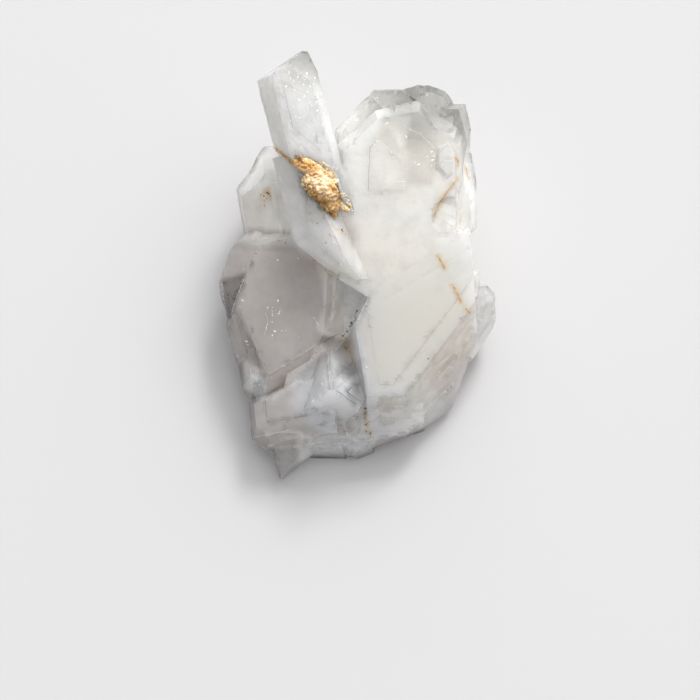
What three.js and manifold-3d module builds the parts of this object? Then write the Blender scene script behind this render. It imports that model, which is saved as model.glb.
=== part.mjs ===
// Faden quartz: a loose cluster of clear to milky quartz crystals grown together, with clay in its cleft.
// Sizes are in millimetres. X runs across the cluster, Y along its length, Z up from the broken base.

import * as THREE from "three";
import { mergeVertices } from "three/addons/utils/BufferGeometryUtils.js";
import Module from "manifold-3d";

// Middle of the cluster's outline in the coordinates below. It is moved to 0, 0.
const OUTLINE_MIDDLE = [-0.01, -0.98];

// Level at which the cluster is broken off flat. It rests on this break.
const BREAK_LEVEL = 0;

// Room kept between the clay and the quartz around it.
const CLAY_GAP = 0.3;

// A crystal is the room inside its flat faces. Each face is given as
// [compass direction, slope above the horizontal, distance from the crystal's middle].
// Direction and slope are in degrees and say where the face looks.
// Faces whose name begins with hidden lie inside a neighbouring crystal.

// Long doubly ended crystal that lies across the top of the cluster: the half with the free tip.
const LEANING_UPPER = {
  middle: [-9.7, 22.7, 22.5],
  faces: {
    broadTop: [-104.3, 79.9, 4.03],
    leftBevel: [-162, 28, 3.7],
    leftUnder: [-169, -30, 3.9],
    rightBevel: [11, 28, 5.4],
    rightUnder: [19, -28, 3.4],
    under: [98, -79, 4.8],
    tipUpper: [124, 12, 7.0],
    tipLower: [118, -35, 5.3],
    tipFace: [55, 50, 7.0],
    tipCorner: [53, 20, 8.9],
    tipRightCorner: [28, 14, 6.4],
    tipEnd: [84, 6, 9.26],
    leftCorner: [-168, 18, 4.4],
    hiddenFoot: [-128, 10, 6.2],
  },
};

// Lower half of the same crystal, turned a little about its length, with the blunt lower end.
const LEANING_LOWER = {
  middle: [-4.3, 7.3, 18.5],
  faces: {
    brightTop: [-122.4, 62.1, 5.38],
    greyTop: [11, 43, 3.4],
    leftBand: [-158, 40, 5.7],
    leftUnder: [-171, -30, 4.9],
    rightUnder: [23, -25, 2.6],
    under: [103, -85, 5.3],
    footBand: [-128, 35, 6.1],
    footUnder: [-129, -35, 5.1],
    footEnd: [-112, 30, 7.2],
    footRight: [-79, 12, 10.7],
    hiddenHead: [119, 10, 11.9],
  },
};

// Biggest crystal, standing steeply on the right and pointing up the length of the cluster.
const TALL = {
  middle: [6.5, 10.5, 14.5],
  faces: {
    broadTop: [-77, 76.3, 7.39],
    lowerSlope: [-68.5, 66.1, 8.90],
    rightBevel: [-2, 16, 9.9],
    rightUnder: [7, -30, 8.1],
    leftBevel: [-174, 30, 11.7],
    leftUnder: [173, -30, 9.2],
    shoulderBevel: [141, 46, 14.2],
    shoulderEnd: [132, 5, 12.5],
    headBevel: [100, 50, 15.3],
    headEnd: [104, 5, 13.6],
    headRightBevel: [42, 46, 14.4],
    headRightEnd: [56, 5, 13.5],
    under: [90, -77, 7.5],
    headUnder: [93, -40, 9.4],
    shoulderUnder: [137, -30, 10.0],
    rightFoot: [-22, 0, 12.1],
    leftFoot: [-121, 0, 16.1],
    hiddenFoot: [-90, 0, 20.8],
  },
};

// Lower ledge around the head of the tall crystal.
const TALL_HEAD = {
  middle: [6.5, 19.7, 15.0],
  faces: {
    broadTop: [-73, 72.5, 6.09],
    shoulderSlope: [140.8, 59, 8.75],
    shoulderBand: [139, 24, 8.7],
    shoulderUnder: [132, -25, 5.1],
    headSlope: [89.2, 50, 8.08],
    headBand: [90, 20, 7.8],
    headUnder: [90, -38, 2.5],
    left: [-180, 10, 10.4],
    rightShoulder: [26, 30, 9.2],
    rightUnder: [37, -20, 6.4],
    right: [1, 5, 10.0],
    under: [90, -77, 4.0],
    hiddenFoot: [-90, 0, 6.9],
  },
};

// Narrow crystal grown on the head of the tall one.
const TALL_CREST = {
  middle: [11.0, 21.1, 17.0],
  faces: {
    broadTop: [34, 68, 5.44],
    headLeft: [127, 40, 6.7],
    head: [88, 45, 6.6],
    headRight: [60, 38, 6.1],
    step: [27, 25, 5.1],
    headUnder: [88, -35, 2.8],
    headRightUnder: [74, -25, 3.6],
    stepUnder: [37, -20, 3.8],
    right: [1, 10, 4.2],
    left: [-159, 25, 3.1],
    under: [90, -76, 6.0],
    hiddenFoot: [-90, 0, 6.0],
  },
};

// Thin crystal grown along the right side of the tall one.
const TALL_FLANK = {
  middle: [16.0, 14.7, 14.0],
  faces: {
    broadTop: [-19.6, 62.7, 4.78],
    head: [85, 15, 10.2],
    headUnder: [102, -35, 5.6],
    headRight: [10, 20, 3.2],
    headRightUnder: [17, -30, 1.1],
    right: [-2, 22, 2.7],
    rightUnder: [5, -25, 1.3],
    footRight: [-41, 5, 7.7],
    hiddenLeft: [-180, 0, 3.5],
    hiddenFoot: [-90, 0, 12.5],
  },
};

// Small six-sided plate that stands a little proud on the right of the tall crystal.
const RAISED_FACET = {
  middle: [12.9, 15.6, 20.0],
  faces: {
    broadTop: [-35.9, 69.1, 3.33],
    head: [125, 40, 3.6],
    headRight: [38, 35, 3.4],
    right: [-2, 20, 2.3],
    foot: [-54, 35, 3.6],
    left: [-171, 40, 2.9],
    footLeft: [-119, 40, 3.3],
    hiddenUnder: [0, -90, 1.0],
  },
};

// Broad crystal on the lower right. Its upper slope runs on into the tall crystal's face.
const BROAD = {
  middle: [7.4, -11.8, 7.0],
  faces: {
    broadTop: [-68.5, 66.1, 7.23],
    upperSlope: [-77, 76.3, 9.46],
    rightBevel: [-46, 35, 7.5],
    rightRim: [-29, 10, 10.9],
    rightUnder: [-23, -30, 12.4],
    leftHead: [155, 5, 9.1],
    left: [-165, 12, 9.0],
    upperRight: [4, 3, 11.5],
    upperRightUnder: [11, -35, 7.7],
    footRight: [-51, 38, 7.9],
    foot: [-85, 37, 9.7],
    footRightRim: [-49, 10, 11.9],
    footRim: [-67, 15, 12.3],
    footUnder: [-72, -40, 13.5],
    hiddenHead: [113, 10, 14.2],
  },
};

// Blunt spur beside the broad crystal, the farthest point on the right.
const SPUR = {
  middle: [16.8, -8.3, 6.5],
  faces: {
    broadTop: [-33, 56, 3.6],
    rightBevel: [-17, 36, 3.6],
    head: [84, 40, 5.1],
    headRight: [31, 30, 5.5],
    right: [-2, 12, 4.5],
    footRight: [-30, 15, 3.9],
    footSide: [-33, 0, 4.7],
    rightUnder: [19, -40, 4.5],
    headUnder: [114, -40, 1.5],
    headRightUnder: [78, -40, 3.4],
    hiddenLeft: [-180, 0, 4.0],
    hiddenFoot: [-90, 10, 6.2],
  },
};

// Little block in the corner between the spur and the broad crystal.
const SPUR_BLOCK = {
  middle: [17.2, -3.0, 9.0],
  faces: {
    broadTop: [-10.2, 51.9, 2.73],
    head: [83, 10, 2.0],
    right: [2, 10, 1.6],
    hiddenFoot: [-90, 0, 2.2],
    hiddenLeft: [-180, 0, 2.0],
    under: [36, -49, 2.7],
  },
};

// Flat tabular crystal on the left, pointing down the length of the cluster.
const LEFT_BLADE = {
  middle: [-10.6, -8.6, 8.0],
  faces: {
    broadTop: [-132.7, 74.8, 4.99],
    leftWindow: [171, 38, 9.2],
    leftUnder: [-175, -30, 9.3],
    rightBevel: [-18, 50, 8.1],
    rightRim: [3, 15, 11.3],
    rightFoot: [-19, 20, 9.7],
    leftShoulder: [137, 28, 13.5],
    leftShoulderUnder: [121, -32, 11.5],
    leftCorner: [167, 24, 11.2],
    leftCornerUnder: [153, -30, 11.1],
    foot: [-69, 35, 7.3],
    footRight: [-35, 12, 6.6],
    footUnder: [-69, -35, 10.2],
    footLeft: [-155, 25, 7.4],
    headBevel: [115, 40, 13.7],
    hiddenHead: [87, 0, 15.0],
  },
};

// Two ribs grown side by side along the lower left edge of the blade.
const UPPER_RIB = {
  middle: [-16.9, -11.8, 6.5],
  faces: {
    broadTop: [-151, 62, 3.3],
    left: [-161, 25, 2.4],
    leftHead: [174, 15, 3.6],
    leftUnder: [-168, -35, 3.3],
    foot: [-114, 25, 3.3],
    hiddenRight: [6, 10, 4.2],
    hiddenHead: [90, 10, 4.6],
  },
};

const LOWER_RIB = {
  middle: [-15.8, -17.6, 6],
  faces: {
    broadTop: [-124, 67, 2.7],
    left: [-168, 22, 1.9],
    footLeft: [-145, 25, 1.9],
    foot: [-76, 30, 1.9],
    leftUnder: [-173, -35, 3.1],
    footUnder: [-64, -35, 3.3],
    hiddenHead: [90, 10, 5.1],
    hiddenRight: [0, 10, 2.3],
  },
};

// Facet that fills the cleft between the blade, the leaning crystal and the broad crystal.
const INNER_FACET = {
  middle: [-3.1, -6.0, 9.0],
  faces: {
    broadTop: [-45.4, 75.5, 4.14],
    right: [-16, 5, 3.9],
    foot: [-67, 25, 5.5],
    hiddenLeft: [176, 0, 3.7],
    hiddenHead: [66, 0, 5.1],
    hiddenUnder: [0, -90, 9.0],
  },
};

// Shelf that runs down beside the blade from that facet to the pyramid.
const INNER_SHELF = {
  middle: [-6.2, -13.7, 7.0],
  faces: {
    broadTop: [-126.2, 76.2, 3.93],
    right: [-38, 10, 2.9],
    foot: [-78, 18, 7.0],
    hiddenLeft: [166, 0, 3.9],
    hiddenHead: [78, 0, 6.4],
    hiddenUnder: [0, -90, 7.0],
  },
};

// Blunt crystal on the upper left, behind the leaning one.
const BACK_LEFT = {
  middle: [-13.4, 10.1, 9],
  faces: {
    broadTop: [-151, 63, 5.3],
    leftBevel: [-160, 40, 4.8],
    leftRim: [-168, 12, 4.9],
    shoulder: [153, 25, 5.0],
    head: [129, 35, 6.5],
    leftUnder: [-178, -32, 5.1],
    shoulderUnder: [138, -30, 5.0],
    hiddenRight: [7, 0, 6.7],
    hiddenFoot: [-90, 0, 9.6],
    hiddenHead: [90, 10, 8.3],
  },
};

// Small prism at the lower left, lying almost across the cluster.
const FOOT_PRISM = {
  middle: [-11.8, -25.2, 4.5],
  faces: {
    upperFace: [-144, 75, 3.6],
    lowerFace: [-92, 38, 2.7],
    leftEnd: [-173, 15, 4.7],
    leftFoot: [-123, 30, 3.5],
    foot: [-91, 22, 3.2],
    leftUnder: [177, -35, 4.8],
    footUnder: [-133, -35, 4.9],
    headLeft: [121, 10, 5.7],
    hiddenHead: [107, 10, 6.7],
    hiddenRight: [0, 10, 9.1],
  },
};

// Sliver below the foot prism, the lowest point of the cluster.
const FOOT_SLIVER = {
  middle: [-10.4, -30, 2.2],
  faces: {
    upperFace: [-102, 69, 1.8],
    left: [-162, 15, 2.7],
    foot: [-90, 15, 3.4],
    right: [-53, 25, 1.6],
    leftUnder: [-166, -50, 2.4],
    rightUnder: [-47, -40, 1.9],
    hiddenHead: [90, 0, 2.4],
  },
};

// Low three-faced pyramid that points straight up between the big crystals.
const PYRAMID = {
  middle: [-3.9, -19.3, 9],
  faces: {
    upperLeft: [169, 34, 3.6],
    right: [18, 37, 3.1],
    lower: [-93, 33, 3.4],
    headLeft: [121, 8, 6.0],
    headRight: [54, 8, 6.2],
    rightSide: [2, 5, 5.0],
    footRight: [-29, 5, 5.3],
    foot: [-60, 10, 5.2],
    footLeft: [-113, 10, 5.4],
    left: [168, 12, 4.1],
    hiddenUnder: [0, -90, 9],
  },
};

// Sloping rim along the lower edge, with a tooth and two knobs on it.
const SKIRT = {
  middle: [-1.2, -25.2, 4.0],
  faces: {
    broadTop: [-84.9, 62, 2.34],
    footLeft: [-101, 18, 4.8],
    foot: [-84, 25, 3.0],
    footRight: [-74, 18, 3.6],
    footFarRight: [-68, 15, 4.1],
    footUnder: [-84, -35, 4.4],
    left: [-172, 15, 7.8],
    hiddenHead: [90, 0, 3.6],
    hiddenRight: [6, 0, 11.7],
  },
};

const TOOTH = {
  middle: [-0.9, -28.2, 3.0],
  faces: {
    broadTop: [-87, 43, 1.1],
    footLeft: [-110, 20, 1.1],
    footRight: [-68, 24, 1.4],
    left: [-151, 20, 1.2],
    hiddenRight: [2, 15, 2.7],
    hiddenHead: [90, 0, 2.3],
    under: [-90, -83, 2.9],
  },
};

const LEFT_KNOB = {
  middle: [-0.4, -25.9, 5.0],
  faces: {
    broadTop: [-82.2, 52.6, 2.01],
    footLeft: [-125, 40, 1.3],
    foot: [-74, 35, 1.4],
    right: [-17, 30, 1.8],
    left: [-161, 30, 1.9],
    head: [93, 25, 3.5],
    hiddenUnder: [-180, -90, 3.0],
  },
};

const RIGHT_KNOB = {
  middle: [4.4, -25.3, 4.5],
  faces: {
    broadTop: [-81, 50, 1.4],
    footLeft: [-121, 38, 1.3],
    foot: [-70, 32, 1.1],
    right: [-41, 32, 1.7],
    left: [-159, 30, 2.1],
    head: [94, 25, 4.4],
    hiddenUnder: [-180, -90, 2.5],
  },
};

// Broken root that all crystals grow out of, narrower where it was broken off.
const ROOT = {
  middle: [-1.2, -9.4, 3.0],
  faces: {
    head: [96, -40, 12.2],
    rightHead: [39, -30, 14.6],
    right: [-3, -20, 14.8],
    footRight: [-45, -20, 16.3],
    foot: [-81, -20, 16.2],
    footLeft: [-126, -25, 17.3],
    left: [-173, -30, 12.5],
    leftHead: [158, -35, 11.1],
    hiddenTop: [0, 90, 3],
    hiddenUnder: [0, -90, 6],
  },
};

const CRYSTALS = [
  LEANING_UPPER, LEANING_LOWER, TALL, TALL_HEAD, TALL_CREST, TALL_FLANK, RAISED_FACET, BROAD, SPUR,
  SPUR_BLOCK, LEFT_BLADE, UPPER_RIB, LOWER_RIB, INNER_FACET, INNER_SHELF, BACK_LEFT, FOOT_PRISM,
  FOOT_SLIVER, PYRAMID, SKIRT, TOOTH, LEFT_KNOB, RIGHT_KNOB, ROOT,
];

// Growth steps: thin layers left on one face of a crystal. A layer stands proud of its face by
// the rise, and each side named in drawnIn stops short of the crystal's own side by that much.
const GROWTH_STEPS = [
  { on: TALL, face: "broadTop", rise: 0.22,
    drawnIn: {
      headBevel: 2.6, shoulderBevel: 1.8, headRightBevel: 5.6, leftBevel: 3.4, rightBevel: 7.2, hiddenFoot: 21,
    } },
  { on: TALL, face: "headBevel", rise: 0.5,
    drawnIn: { broadTop: 0.7, shoulderBevel: 1.2, headRightBevel: 2.2 } },
  { on: TALL, face: "rightBevel", rise: 0.4,
    drawnIn: { broadTop: 1.1, headRightBevel: 1.4, rightFoot: 4 } },
  { on: BROAD, face: "broadTop", rise: 0.12,
    drawnIn: { left: 2.2, foot: 1.0, footRight: 1.2, rightBevel: 1.4, upperSlope: 0.3 } },
  { on: BROAD, face: "rightBevel", rise: 0.45,
    drawnIn: { broadTop: 1.1, footRight: 2.4, rightRim: 2.2, upperRight: 3 } },
  { on: BROAD, face: "foot", rise: 0.5,
    drawnIn: { broadTop: 1.4, left: 2.6, footRight: 2.8, footRim: 2.4 } },
  { on: LEFT_BLADE, face: "rightBevel", rise: 0.4,
    drawnIn: { broadTop: 0.8, headBevel: 3, rightFoot: 1.4 } },
  { on: BACK_LEFT, face: "broadTop", rise: 0.25,
    drawnIn: { leftBevel: 1.2, head: 1.4, hiddenFoot: 2.4 } },
  { on: PYRAMID, face: "right", rise: 0.35, drawnIn: { headLeft: 4.2 } },
  { on: PYRAMID, face: "right", rise: 0.7, drawnIn: { headLeft: 5.6, lower: 0.3 } },
  { on: PYRAMID, face: "right", rise: 1.05, drawnIn: { headLeft: 7.0, lower: 0.9 } },
  { on: LEANING_UPPER, face: "broadTop", rise: 0.15,
    drawnIn: { leftBevel: 1.1, tipFace: 1.6, rightBevel: 1.3, hiddenFoot: 3.4 } },
  { on: FOOT_PRISM, face: "upperFace", rise: 0.25, drawnIn: { lowerFace: 1, leftEnd: 1.6 } },
  { on: SPUR, face: "broadTop", rise: 0.25, drawnIn: { rightBevel: 1, head: 1.2 } },
];

// Shell-shaped chips: a shallow hollow of the given radius of curvature, sunk by its depth into one
// face of a crystal. It is drawn out by the stretch along a line turned by so many degrees from X.
const CHIPS = [
  { on: TALL, face: "broadTop", at: [13.5, 6.9], radius: 4.5, depth: 0.7, stretch: 1.25, turn: 60 },
  { on: TALL, face: "headRightBevel", at: [12.6, 21.2], radius: 4, depth: 0.5, stretch: 1.6, turn: -35 },
  { on: TALL, face: "rightBevel", at: [16.2, 15.4], radius: 3, depth: 0.35, stretch: 2.2, turn: 88 },
  { on: BROAD, face: "rightBevel", at: [12.2, -17.4], radius: 4.5, depth: 0.5, stretch: 1.9, turn: 50 },
  { on: BROAD, face: "rightBevel", at: [16.6, -11.2], radius: 3.5, depth: 0.4, stretch: 1.7, turn: 56 },
  { on: BROAD, face: "footRight", at: [13.0, -21.8], radius: 4, depth: 0.6, stretch: 1.4, turn: 35 },
  { on: BROAD, face: "foot", at: [6.2, -21.6], radius: 4, depth: 0.5, stretch: 1.7, turn: 4 },
  { on: SPUR, face: "broadTop", at: [20.0, -7.2], radius: 3.5, depth: 0.4, stretch: 1.5, turn: 75 },
  { on: SKIRT, face: "broadTop", at: [-4.4, -28.2], radius: 3, depth: 0.4, stretch: 1.8, turn: 8 },
  { on: FOOT_PRISM, face: "lowerFace", at: [-12.6, -27.6], radius: 4, depth: 0.4, stretch: 1.6, turn: 12 },
  { on: LEFT_BLADE, face: "leftWindow", at: [-18.6, -6.4], radius: 5, depth: 0.35, stretch: 1.4, turn: 70 },
  { on: BACK_LEFT, face: "shoulder", at: [-17.6, 13.6], radius: 4, depth: 0.35, stretch: 1.5, turn: 50 },
];

// Rounded lumps that make up the clay: where, how far across, along and up, and turn in degrees.
const CLAY_LUMPS = [
  { at: [-5.6, 11.2, 24.1], reach: [2.9, 1.9, 2.0], turn: -42 },
  { at: [-4.5, 9.1, 23.2], reach: [1.7, 1.15, 1.6], turn: -60 },
  { at: [-3.9, 7.7, 22.7], reach: [1.1, 0.55, 0.9], turn: -62 },
  { at: [-7.2, 14.0, 25.2], reach: [2.8, 0.95, 0.8], turn: -27 },
  { at: [-3.0, 9.0, 23.2], reach: [2.0, 0.6, 0.9], turn: -46 },
];

// Roughness of the clay: height of its bumps as a share of a lump's reach, and how close they stand.
const CLAY_BUMP = 0.13;
const CLAY_BUMP_RATE = 3.4;

const SAME_POINT = 1e-5;
const PARALLEL = 1e-6;

const wasm = await Module();
wasm.setup();

// Unit vector that a face with these two directions looks along.
function lookingAlong(compass, slope) {
  const around = THREE.MathUtils.degToRad(compass);
  const above = THREE.MathUtils.degToRad(slope);
  const level = Math.cos(above);
  return new THREE.Vector3(level * Math.cos(around), level * Math.sin(around), Math.sin(above));
}

// A crystal's face as a plane in the cluster's coordinates.
function facePlane(crystal, name) {
  const [compass, slope, distance] = crystal.faces[name];
  const normal = lookingAlong(compass, slope);
  return { normal, reach: normal.dot(new THREE.Vector3(...crystal.middle)) + distance };
}

// Point where three planes meet, or nothing where two of them are parallel.
function meetingPoint(a, b, c) {
  const across = new THREE.Vector3().crossVectors(b.normal, c.normal);
  const spread = a.normal.dot(across);
  if (Math.abs(spread) < PARALLEL) return null;
  const point = across.multiplyScalar(a.reach);
  point.addScaledVector(new THREE.Vector3().crossVectors(c.normal, a.normal), b.reach);
  point.addScaledVector(new THREE.Vector3().crossVectors(a.normal, b.normal), c.reach);
  return point.divideScalar(spread);
}

// Corners of a crystal: the meeting points that no face cuts away.
function cornersOf(planes) {
  const corners = [];
  const isCutAway = (point) => planes.some((plane) => plane.normal.dot(point) > plane.reach + SAME_POINT);
  const isKnown = (point) => corners.some((corner) => corner.distanceTo(point) < SAME_POINT);
  for (let i = 0; i < planes.length; i += 1) {
    for (let j = i + 1; j < planes.length; j += 1) {
      for (let k = j + 1; k < planes.length; k += 1) {
        const point = meetingPoint(planes[i], planes[j], planes[k]);
        if (point && !isCutAway(point) && !isKnown(point)) corners.push(point);
      }
    }
  }
  return corners;
}

// Numbers of the corners around one face, counter-clockwise seen from outside.
function faceLoop(plane, corners) {
  const onFace = [];
  corners.forEach((corner, index) => {
    if (Math.abs(plane.normal.dot(corner) - plane.reach) < 2 * SAME_POINT) onFace.push(index);
  });
  if (onFace.length < 3) return [];
  const middle = new THREE.Vector3();
  onFace.forEach((index) => middle.addScaledVector(corners[index], 1 / onFace.length));
  const first = corners[onFace[0]].clone().sub(middle).normalize();
  const second = new THREE.Vector3().crossVectors(plane.normal, first);
  const turnOf = (index) => {
    const arm = corners[index].clone().sub(middle);
    return Math.atan2(arm.dot(second), arm.dot(first));
  };
  return onFace.sort((a, b) => turnOf(a) - turnOf(b));
}

// Closed surface of a crystal, each face a fan of triangles on shared corners.
function crystalGeometry(crystal) {
  const planes = Object.keys(crystal.faces).map((name) => facePlane(crystal, name));
  const corners = cornersOf(planes);
  const triangles = [];
  for (const plane of planes) {
    const loop = faceLoop(plane, corners);
    for (let i = 1; i + 1 < loop.length; i += 1) triangles.push(loop[0], loop[i], loop[i + 1]);
  }
  const places = corners.flatMap((corner) => corner.toArray());
  const geometry = new THREE.BufferGeometry();
  geometry.setAttribute("position", new THREE.Float32BufferAttribute(places, 3));
  geometry.setIndex(triangles);
  return geometry;
}

function toSolid(geometry) {
  const mesh = new wasm.Mesh({
    numProp: 3,
    vertProperties: new Float32Array(geometry.getAttribute("position").array),
    triVerts: new Uint32Array(geometry.index.array),
  });
  return new wasm.Manifold(mesh);
}

function toGeometry(solid) {
  const mesh = solid.getMesh();
  const geometry = new THREE.BufferGeometry();
  geometry.setAttribute("position", new THREE.Float32BufferAttribute(mesh.vertProperties, 3));
  geometry.setIndex(Array.from(mesh.triVerts));
  return geometry;
}

function join(solids) {
  return solids.reduce((whole, solid) => whole.add(solid));
}

// Number of the connected piece that each corner of a surface belongs to.
function pieceOfCorner(geometry) {
  const piece = Array.from({ length: geometry.getAttribute("position").count }, (_, corner) => corner);
  const headOf = (corner) => {
    while (piece[corner] !== corner) corner = piece[corner];
    return corner;
  };
  const index = geometry.index.array;
  for (let i = 0; i < index.length; i += 3) {
    piece[headOf(index[i + 1])] = headOf(index[i]);
    piece[headOf(index[i + 2])] = headOf(index[i]);
  }
  return piece.map((_, corner) => headOf(corner));
}

// The biggest connected piece of a solid: crumbs that the clay's notch leaves loose are dropped.
function withoutCrumbs(solid) {
  const geometry = mergeVertices(toGeometry(solid), SAME_POINT);
  const piece = pieceOfCorner(geometry);
  const index = Array.from(geometry.index.array);
  const sizes = new Map();
  index.forEach((corner) => sizes.set(piece[corner], (sizes.get(piece[corner]) ?? 0) + 1));
  const [biggest] = [...sizes].sort((a, b) => b[1] - a[1])[0];
  geometry.setIndex(index.filter((corner) => piece[corner] === biggest));
  return toSolid(geometry);
}

// The crystal a growth step lies on, with the step's face moved out and its sides moved in.
function growthLayer({ on, face, rise, drawnIn }) {
  const faces = { ...on.faces };
  const moveFace = (name, amount) => {
    const [compass, slope, distance] = faces[name];
    faces[name] = [compass, slope, distance + amount];
  };
  moveFace(face, rise);
  Object.entries(drawnIn).forEach(([name, amount]) => moveFace(name, -amount));
  return { middle: on.middle, faces };
}

// Leave only places on a ready-made surface, with shared corners.
function bareSurface(geometry) {
  geometry.deleteAttribute("uv");
  geometry.deleteAttribute("normal");
  return mergeVertices(geometry, SAME_POINT);
}

// Drawn-out ball that dips into a face by the chip's depth.
function chipTool({ on, face, at, radius, depth, stretch, turn }) {
  const { normal, reach } = facePlane(on, face);
  const height = (reach - normal.x * at[0] - normal.y * at[1]) / normal.z;
  const middle = new THREE.Vector3(at[0], at[1], height).addScaledVector(normal, radius - depth);
  const geometry = bareSurface(new THREE.SphereGeometry(radius, 28, 14));
  geometry.scale(stretch, 1, 1);
  geometry.rotateZ(THREE.MathUtils.degToRad(turn));
  geometry.translate(middle.x, middle.y, middle.z);
  return toSolid(geometry);
}

// Height of the clay's bumps in a direction from a lump's middle.
function bump(x, y, z) {
  const acrossAndAlong = Math.sin(CLAY_BUMP_RATE * x + 1.7) + Math.sin(CLAY_BUMP_RATE * y + 0.4);
  const coarse = acrossAndAlong + Math.sin(CLAY_BUMP_RATE * z);
  const fine = Math.sin(2.7 * CLAY_BUMP_RATE * (x + z)) * Math.sin(2.3 * CLAY_BUMP_RATE * (y - z));
  return CLAY_BUMP * (coarse / 2 + fine / 2);
}

// One rounded lump of clay, swollen all round by the given amount.
function clayLump({ at, reach, turn }, swelling) {
  const geometry = bareSurface(new THREE.IcosahedronGeometry(1, 4));
  const place = geometry.getAttribute("position");
  for (let i = 0; i < place.count; i += 1) {
    const out = new THREE.Vector3().fromBufferAttribute(place, i);
    const size = 1 + bump(out.x + at[0], out.y + at[1], out.z);
    const corner = new THREE.Vector3(...reach).multiply(out).multiplyScalar(size);
    corner.addScaledVector(out, swelling);
    place.setXYZ(i, corner.x, corner.y, corner.z);
  }
  geometry.rotateZ(THREE.MathUtils.degToRad(turn));
  geometry.translate(...at);
  return toSolid(geometry);
}

function clay(swelling) {
  return join(CLAY_LUMPS.map((lump) => clayLump(lump, swelling)));
}

// Everything above the level that the cluster is broken off at.
function roomAboveBreak() {
  const height = 80;
  const room = { middle: [0, 0, BREAK_LEVEL], faces: { top: [0, 90, height], under: [0, -90, 0] } };
  [0, 90, 180, 270].forEach((compass) => { room.faces[`side${compass}`] = [compass, 0, height]; });
  return toSolid(crystalGeometry(room));
}

function quartz() {
  const layers = GROWTH_STEPS.map(growthLayer);
  const grown = join([...CRYSTALS, ...layers].map((crystal) => toSolid(crystalGeometry(crystal))));
  const chipped = grown.subtract(join(CHIPS.map(chipTool)));
  return withoutCrumbs(chipped.subtract(clay(CLAY_GAP)).intersect(roomAboveBreak()));
}

function namedMesh(name, solid, color, roughness) {
  const geometry = toGeometry(solid);
  geometry.translate(-OUTLINE_MIDDLE[0], -OUTLINE_MIDDLE[1], -BREAK_LEVEL);
  geometry.computeVertexNormals();
  const mesh = new THREE.Mesh(geometry, new THREE.MeshStandardMaterial({ color, roughness, metalness: 0 }));
  mesh.name = name;
  return mesh;
}

const part = new THREE.Group();
part.name = "faden_quartz";
part.add(namedMesh("quartz_cluster", quartz(), "#e4e2dc", 0.15));
part.add(namedMesh("clay_lump", clay(0), "#b98a4e", 0.9));

export default part;
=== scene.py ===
# %% [markdown]
# # A cluster of faden quartz
# Several quartz crystals have grown into one another. Their middles are milky, their rims are clear,
# and an ochre clay lump is caught in the cleft of the crystal that lies on top. The lesson loads the
# solid model, dresses it, and lights it on a pale floor as if seen from straight above.

import math
import random

import bmesh
import bpy
import numpy as np
from mathutils import Euler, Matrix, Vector, noise
from mathutils.bvhtree import BVHTree
from mathutils.kdtree import KDTree


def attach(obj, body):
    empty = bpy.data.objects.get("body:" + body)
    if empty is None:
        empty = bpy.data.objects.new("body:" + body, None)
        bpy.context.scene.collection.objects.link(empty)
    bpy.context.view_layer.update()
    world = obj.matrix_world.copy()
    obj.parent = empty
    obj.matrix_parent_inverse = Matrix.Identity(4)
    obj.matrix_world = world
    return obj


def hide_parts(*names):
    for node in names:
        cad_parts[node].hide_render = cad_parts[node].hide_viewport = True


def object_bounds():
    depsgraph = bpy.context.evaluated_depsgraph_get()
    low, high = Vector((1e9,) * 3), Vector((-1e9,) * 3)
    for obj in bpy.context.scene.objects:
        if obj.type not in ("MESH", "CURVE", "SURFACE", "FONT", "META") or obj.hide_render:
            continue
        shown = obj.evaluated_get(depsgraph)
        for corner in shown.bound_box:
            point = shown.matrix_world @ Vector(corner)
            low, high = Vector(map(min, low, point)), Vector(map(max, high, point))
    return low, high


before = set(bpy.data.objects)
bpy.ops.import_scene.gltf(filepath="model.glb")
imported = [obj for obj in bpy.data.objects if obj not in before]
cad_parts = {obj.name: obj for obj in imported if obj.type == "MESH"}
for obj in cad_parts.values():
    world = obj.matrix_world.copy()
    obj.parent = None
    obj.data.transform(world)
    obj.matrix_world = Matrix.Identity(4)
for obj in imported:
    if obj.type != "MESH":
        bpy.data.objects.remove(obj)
cad_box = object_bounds()
MM = 0.001
print("solid model from", cad_box[0], "to", cad_box[1])

# %% [markdown]
# ## Colours and nodes
# Colours are picked as sRGB hex values, as on a screen, and a shader wants linear light, so one
# function turns them. One more function adds a node with its settings and links. Every material
# below uses these two, and three short ones for the nodes that come back most often.

# %% Colour and node helpers
def linear(hex_colour):
    """Linear RGBA from an sRGB hex value."""
    parts = [int(hex_colour[i:i + 2], 16) / 255 for i in (1, 3, 5)]
    return (*[c / 12.92 if c <= 0.04045 else ((c + 0.055) / 1.055) ** 2.4 for c in parts], 1.0)


def add_node(tree, kind, inputs=None, **settings):
    """Add a node, give it its settings, and link or set its inputs."""
    node = tree.nodes.new(kind)
    for name, value in settings.items():
        setattr(node, name, value)
    for name, value in (inputs or {}).items():
        if isinstance(value, bpy.types.Node):
            value = value.outputs[0]
        if isinstance(value, bpy.types.NodeSocket):
            tree.links.new(value, node.inputs[name])
        else:
            node.inputs[name].default_value = value
    return node


def noise_node(tree, scale, detail, roughness=0.5):
    """Noise over the piece's own coordinates, which are in metres."""
    place = add_node(tree, "ShaderNodeTexCoord").outputs["Object"]
    return add_node(tree, "ShaderNodeTexNoise", {
        "Vector": place, "Scale": scale, "Detail": detail, "Roughness": roughness})


def mapped(tree, value, source, target):
    """Map one range of values onto another."""
    return add_node(tree, "ShaderNodeMapRange", {
        "Value": value, "From Min": source[0], "From Max": source[1],
        "To Min": target[0], "To Max": target[1]})


def stored(tree, name, output="Fac"):
    """A value or colour that the mesh stores under a name."""
    return add_node(tree, "ShaderNodeAttribute", attribute_name=name).outputs[output]


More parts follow.
